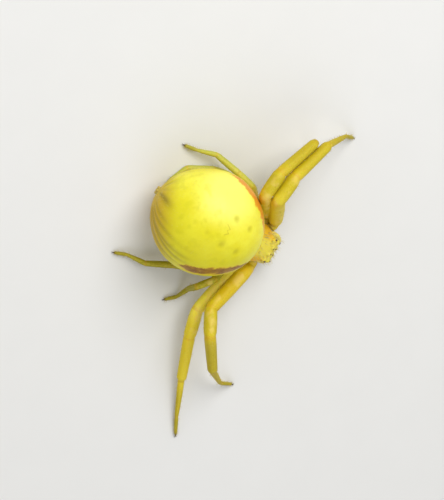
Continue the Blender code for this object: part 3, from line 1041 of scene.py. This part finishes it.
def paintAbdomen():
    plan, look = abdomenPlan, abdomenLook
    paint = Paint("abdomenCuticle", Specular_IOR_Level=0.24, Subsurface_Weight=0.12,
                  Subsurface_Radius=(1.0, 0.7, 0.15), Subsurface_Scale=0.0004)
    spot = paint.place()
    x, y, z = paint.axes(spot)
    rolled = paint.place((0, 0, plan["midHeight"]), (0, math.radians(plan["roll"]), 0))
    across, along, up = paint.axes(rolled)
    mottle = paint.noise(spot, 0.9, 3.0)
    fine = paint.noise(spot, 6.0, 4.0, 0.6)
    cloud = paint.noise(paint.place((3, 1, 2)), 1.7, 3.0)
    # a painted highlight, palest on the left shoulder; painted shade, deeper golden with olive
    # clouds, on the right
    crown = paint.distance(spot, patternPoint(*look["highlightPlace"]))
    rightward = x * 0.8 - y * 0.15 + mottle
    lumpShade = cloud.step(0.5, 0.68) * (x - y).step(1.5, -0.5)
    # warmer below and at the left rim, olive-orange behind, darker in the folds: below and behind
    # partly their own tone and partly painted shade, and painted shade in the folds
    under = z + mottle * 1.2
    flank = x + y * 0.45 - z * 0.5 + mottle * 0.8
    behind = y * 0.80 - x * 0.45 - z * 0.22 + mottle * 0.5
    colour = paint.over(
        paint.mix(mottle.step(0.35, 0.7), look["base"], look["bright"]),
        (fine.step(0.45, 0.75) * 0.3, look["warm"]),
        # painted shade: deeper golden towards the right side
        (rightward.step(1.6, -0.3) * 0.6, look["golden"]),
        # the painted highlight on the left shoulder
        (crown.step(2.7, 0.9) * 0.75, look["crown"]),
        # painted shade: olive clouds for the shade of low lumps
        (lumpShade * 0.3, look["oliveShade"]),
        # partly painted shade: darker and warmer on the lower side
        (under.step(3.4, 0.6) * 0.7, look["under"]),
        (flank.step(2.1, 3.2) * 0.7, look["leftRim"]),
        # partly painted shade: olive-orange towards the rear
        (behind.step(1.35, 2.75) * 0.85, look["rear"]),
        # painted shade in the folds, deeper where the folds are deeper
        (paint.attribute("foldShade") * 0.75, look["foldShade"]))
    # the ragged band along each side in front, fading at both ends; the right band is painted in a
    # shaded tone
    angle = up.work("ARCTAN2", up, abs(across))
    edge = paint.noise(spot, 2.0, 4.0, 0.7) - 0.5
    right = across.step(0.4, -0.4)
    low, higher, slope, start = look["band"]
    middle = low + right * higher + (start - along) * slope
    wander, steadier = look["bandWander"]
    offset = (angle * (180 / math.pi) - middle + edge * (wander - right * steadier)
              + (fine - 0.5) * 9)
    rear, front = look["bandEnds"]
    span = (along + edge * 1.2).step(*rear) * (along + edge * 0.6).step(*front)
    outer = abs(offset - offset.atMost(0.0) * (0.55 - right * 0.1)) / (span * 0.8 + 0.2)
    shown = span.step(0.0, 0.3)
    ragged = edge.step(-0.2, 0.15) * 0.35 + 0.6
    colour = paint.over(
        colour,
        (outer.step(*look["rimHalf"]) * shown * 0.75, look["bandRim"]),
        (outer.step(*look["bandHalf"]) * shown * ragged,
         paint.mix(right, look["bandLeft"], look["bandRightShaded"])))
    # the dimples, darker by their depth, partly their own tint and partly painted shade, and the
    # crooked mark between them
    for out, place, radius, depth in plan["dimples"]:
        for side in (1, -1):
            gap = paint.distance(spot, patternPoint(side * out, place))
            colour = paint.mix(gap.step(radius * 1.8, 0.0) * min(1.0, depth * 13), colour,
                               look["dimpleTintAndShade"])
    marks = [patternPoint(out, place) for out, place in plan["centreMark"]]
    for start, end in zip(marks, marks[1:]):
        gap = paint.lineDistance(spot, start, end) + (fine - 0.5) * 0.05
        colour = paint.mix(gap.step(0.055, 0.015) * 0.4, colour, look["mark"])
    paint.feed("Base Color", colour)
    paint.feed("Roughness", 0.36 + 0.16 * fine)
    grain = paint.cells(spot, 9.0)
    wrinkle = paint.noise(spot, 2.6, 4.0, 0.6)
    paint.bump(fine * 0.5 + grain * 0.6 + wrinkle * 1.6, 0.45, 0.02)
    return paint.material


bodyLook = {
    "middle": (0.78, 0.66, 0.07),
    "side": (0.82, 0.47, 0.008),
    "speck": (0.56, 0.38, 0.02),
    # under: painted shade below the carapace rim
    "under": (0.50, 0.36, 0.02),
    "leg": (0.58, 0.42, 0.002),
    "legBright": (0.66, 0.51, 0.006),
    "thigh": (0.74, 0.50, 0.004),
    "knee": (0.52, 0.42, 0.004),
    "shank": (0.45, 0.35, 0.003),
    "paleLeg": (0.82, 0.64, 0.02),
    "paleThigh": (1.0, 0.90, 0.10),
    # painted shade and a painted green reflection on the hind legs
    "hindRightShade": (0.31, 0.275, 0.003),
    "hindLeftGreenReflection": (0.49, 0.54, 0.09),
    "joint": (0.62, 0.30, 0.012),
    # streak and cloud: painted highlights on the upper side of the legs
    "streakHighlight": (0.86, 0.72, 0.07),
    "cloud": (0.88, 0.66, 0.17),
    "foot": (0.34, 0.285, 0.008),
    "tip": (0.10, 0.055, 0.012),
    "palp": (0.80, 0.68, 0.12),
    "shade": (0.45, 0.32, 0.01),
}


def paintBody():
    look = bodyLook
    paint = Paint("bodyCuticle", Specular_IOR_Level=0.3, Subsurface_Weight=0.3,
                  Subsurface_Radius=(1.0, 0.65, 0.1), Subsurface_Scale=0.0003)
    spot = paint.place()
    along, kind, upper, pale, front = [paint.attribute(name) for name in
                                       ("along", "kind", "upper", "pale", "frontLeg")]
    mottle = paint.noise(spot, 2.5, 3.0)
    fine = paint.noise(spot, 14.0, 3.0, 0.6)
    cloud = paint.noise(paint.place(scale=1300.0), 1.0, 2.0)
    # pale middle and face, orange-brown sides, and painted shade below the rim
    head = paint.place(headRear, (0, 0, math.radians(headPlan["turn"])))
    out, back, height = paint.axes(head)
    side = (abs(out) + (mottle - 0.5) * 0.5).step(0.45, 0.9) * back.step(-2.25, -1.7)
    carapace = paint.over(
        paint.mix(side, look["middle"], look["side"]),
        (fine.step(0.5, 0.8) * 0.4, look["speck"]),
        # painted shade below the rim
        (height.step(1.75, 1.5) * 0.7, look["under"]))
    # legs by the place along them: thigh 1 to 2, knee to 3, shank to 4, foot 5 to 6
    knee = along.step(2.0, 2.4) * along.step(3.1, 2.8)
    behind = front.step(0.6, 0.4)
    rightSide = paint.axes(spot)[0].step(0.3, -0.3)
    leg = paint.over(
        paint.mix(mottle.step(0.3, 0.7), look["leg"], look["legBright"]),
        (along.step(2.15, 1.6) * 0.6, look["thigh"]),
        (knee * 0.6, look["knee"]),
        (along.step(2.9, 3.4) * 0.8, look["shank"]),
        # paler legs, with painted light on right leg two where it lies in shade
        (pale * along.step(4.6, 4.0) * 0.7, look["paleLeg"]),
        (pale * along.step(2.6, 2.0) * 0.5, look["paleThigh"]),
        # painted shade on the hind legs on the right, a painted green reflection on those on the
        # left
        (behind * rightSide * 0.85, look["hindRightShade"]),
        (behind * (1 - rightSide) * 0.65, look["hindLeftGreenReflection"]),
        *[(abs(along - joint).step(0.06, 0.0) * 0.4, look["joint"]) for joint in (2, 3, 4, 5)],
        # painted highlights: paler streaks along the upper side and pinkish clouds on the thighs
        (upper.step(0.6, 1.0) * fine.step(0.3, 0.6) * 0.35, look["streakHighlight"]),
        (upper.step(0.2, 0.8) * cloud.step(0.5, 0.66) * along.step(3.4, 2.6) * 0.5,
         look["cloud"]),
        (along.step(4.6, 5.4) * 0.6, look["foot"]),
        (along.step(5.8, 6.0), look["tip"]))
    # kind is 0 on the carapace, 1 on the legs, 2 on the palps and 3 on the jaws
    paint.feed("Base Color", paint.over(
        paint.mix(kind.step(0.3, 0.7), carapace, leg),
        (kind.step(1.3, 1.7), look["palp"]),
        (upper.step(-0.2, -1.0) * 0.25, look["shade"])))
    paint.feed("Roughness", 0.44 + 0.2 * fine)
    paint.bump(fine, 0.3, 0.01)
    return paint.material


def paintSpinnerets():
    paint = Paint("spinneretCuticle", Roughness=0.5, Subsurface_Weight=0.1,
                  Subsurface_Scale=0.0002)
    spot = paint.place()
    mottle = paint.noise(spot, 5.0, 3.0)
    paint.feed("Base Color", paint.mix(mottle, (0.42, 0.30, 0.05), (0.58, 0.44, 0.06)))
    paint.bump(paint.noise(spot, 25.0), 0.3, 0.01)
    return paint.material


def paintPlain(name, scale, dark, light, **constants):
    # two tones mixed by a noise
    paint = Paint(name, **constants)
    tone = paint.noise(paint.place(), scale)
    paint.feed("Base Color", paint.mix(tone, dark, light))
    return paint.material


def paintHair(name, colour):
    return paintPlain(name, 4.0, tuple(part * 0.6 for part in colour), colour, Roughness=0.5)


settle(bodySkin, paintBody(),
       ("cephalothorax", "chelicerae", "palp_left", "palp_right", *legPlan["poses"]))
settle(abdomenSkin, paintAbdomen(), ("abdomen",))
settle(spinneretSkin, paintSpinnerets(), ("spinnerets",))
settle(eyes, paintPlain("eyeLens", 12.0, (0.05, 0.018, 0.006), (0.13, 0.045, 0.012),
                        Roughness=0.08, Coat_Weight=0.6))
hornPaint = paintPlain("hornCuticle", 9.0, (0.030, 0.012, 0.005), (0.075, 0.032, 0.010),
                       Roughness=0.3)
settle(claws, hornPaint)
settle(fangs, hornPaint)
settle(legSpines, paintHair("spineCuticle", (0.60, 0.42, 0.05)))
settle(legHair, paintHair("legBristles", (0.72, 0.58, 0.14)))
settle(abdomenHair, paintHair("abdomenBristles", (0.86, 0.76, 0.22)))
settle(headHair, paintHair("headBristles", (0.80, 0.68, 0.30)))


# floor, light and camera
studioPlan = {
    "floorSize": 0.6,
    "floorColour": (0.80, 0.79, 0.76),
    "worldColour": (0.95, 0.97, 1.0),
    "worldStrength": 0.40,
    # name, direction it shines from, distance, size, power
    "lamps": (("key", (0.62, 0.22, 0.75), 0.16, 0.12, 0.20),
              ("fill", (-0.6, -0.3, 0.74), 0.20, 0.18, 0.085),
              ("back", (-0.2, 0.85, 0.5), 0.20, 0.14, 0.03)),
    "tilt": 25.3,
    "lean": 16.2,
    "roll": -31.7,
    "scale": 16.85,
    "distance": 200.0,
    "aim": (0.0, 0.0, 3.1),
    "aimPixel": (209, 221),
    "photoSize": (444, 500),
    "sensor": 36.0,
}


def buildFloor():
    clearSelection()
    bpy.ops.mesh.primitive_plane_add(size=studioPlan["floorSize"], location=(0, 0, 0))
    floor = startPiece("floor")
    paint = Paint("floorPaper", Roughness=0.85)
    grain = paint.noise(paint.place(), 0.4, 4.0)
    tone = studioPlan["floorColour"]
    paint.feed("Base Color", paint.mix(grain, tone, tuple(part * 0.97 for part in tone)))
    floor.data.materials.append(paint.material)


def buildLamps():
    world = bpy.data.worlds.new("studio")
    world.use_nodes = True
    backdrop = world.node_tree.nodes["Background"]
    backdrop.inputs["Color"].default_value = (*studioPlan["worldColour"], 1.0)
    backdrop.inputs["Strength"].default_value = studioPlan["worldStrength"]
    bpy.context.scene.world = world
    for name, toward, distance, size, power in studioPlan["lamps"]:
        clearSelection()
        bpy.ops.object.light_add(type="AREA", location=Vector(toward).normalized() * distance)
        lamp = bpy.context.object
        lamp.name = name
        lamp.data.shape = "DISK"
        lamp.data.size = size
        lamp.data.energy = power
        lamp.rotation_euler = Vector(toward).to_track_quat("Z", "Y").to_euler()


def buildCamera():
    plan = studioPlan
    tilt, lean, roll = [math.radians(plan[key]) for key in ("tilt", "lean", "roll")]
    toCamera = Vector((math.sin(tilt) * math.sin(lean), math.sin(tilt) * math.cos(lean),
                       math.cos(tilt)))
    ahead = Vector((0, -1, 0))
    ahead = (ahead - toCamera * ahead.dot(toCamera)).normalized()
    beside = toCamera.cross(ahead)
    right = math.cos(roll) * ahead - math.sin(roll) * beside
    up = math.sin(roll) * ahead + math.cos(roll) * beside
    wide, tall = plan["photoSize"]
    shift = ((wide / 2 - plan["aimPixel"][0]) / plan["scale"],
             (tall / 2 - plan["aimPixel"][1]) / plan["scale"])
    place = Vector(plan["aim"]) + toCamera * plan["distance"] + right * shift[0] - up * shift[1]
    turned = Matrix((right, up, toCamera)).transposed().to_4x4()
    clearSelection()
    bpy.ops.object.camera_add()
    camera = bpy.context.object
    camera.matrix_world = Matrix.Translation(place * millimetre) @ turned
    camera.data.sensor_width = plan["sensor"]
    camera.data.lens = plan["scale"] * plan["distance"] / tall * plan["sensor"]
    camera.data.clip_start = 0.01
    camera.data.clip_end = 10.0
    bpy.context.scene.camera = camera
    bpy.context.scene.view_settings.view_transform = "Standard"


buildFloor()
buildLamps()
buildCamera()
print("stage: studio ready")
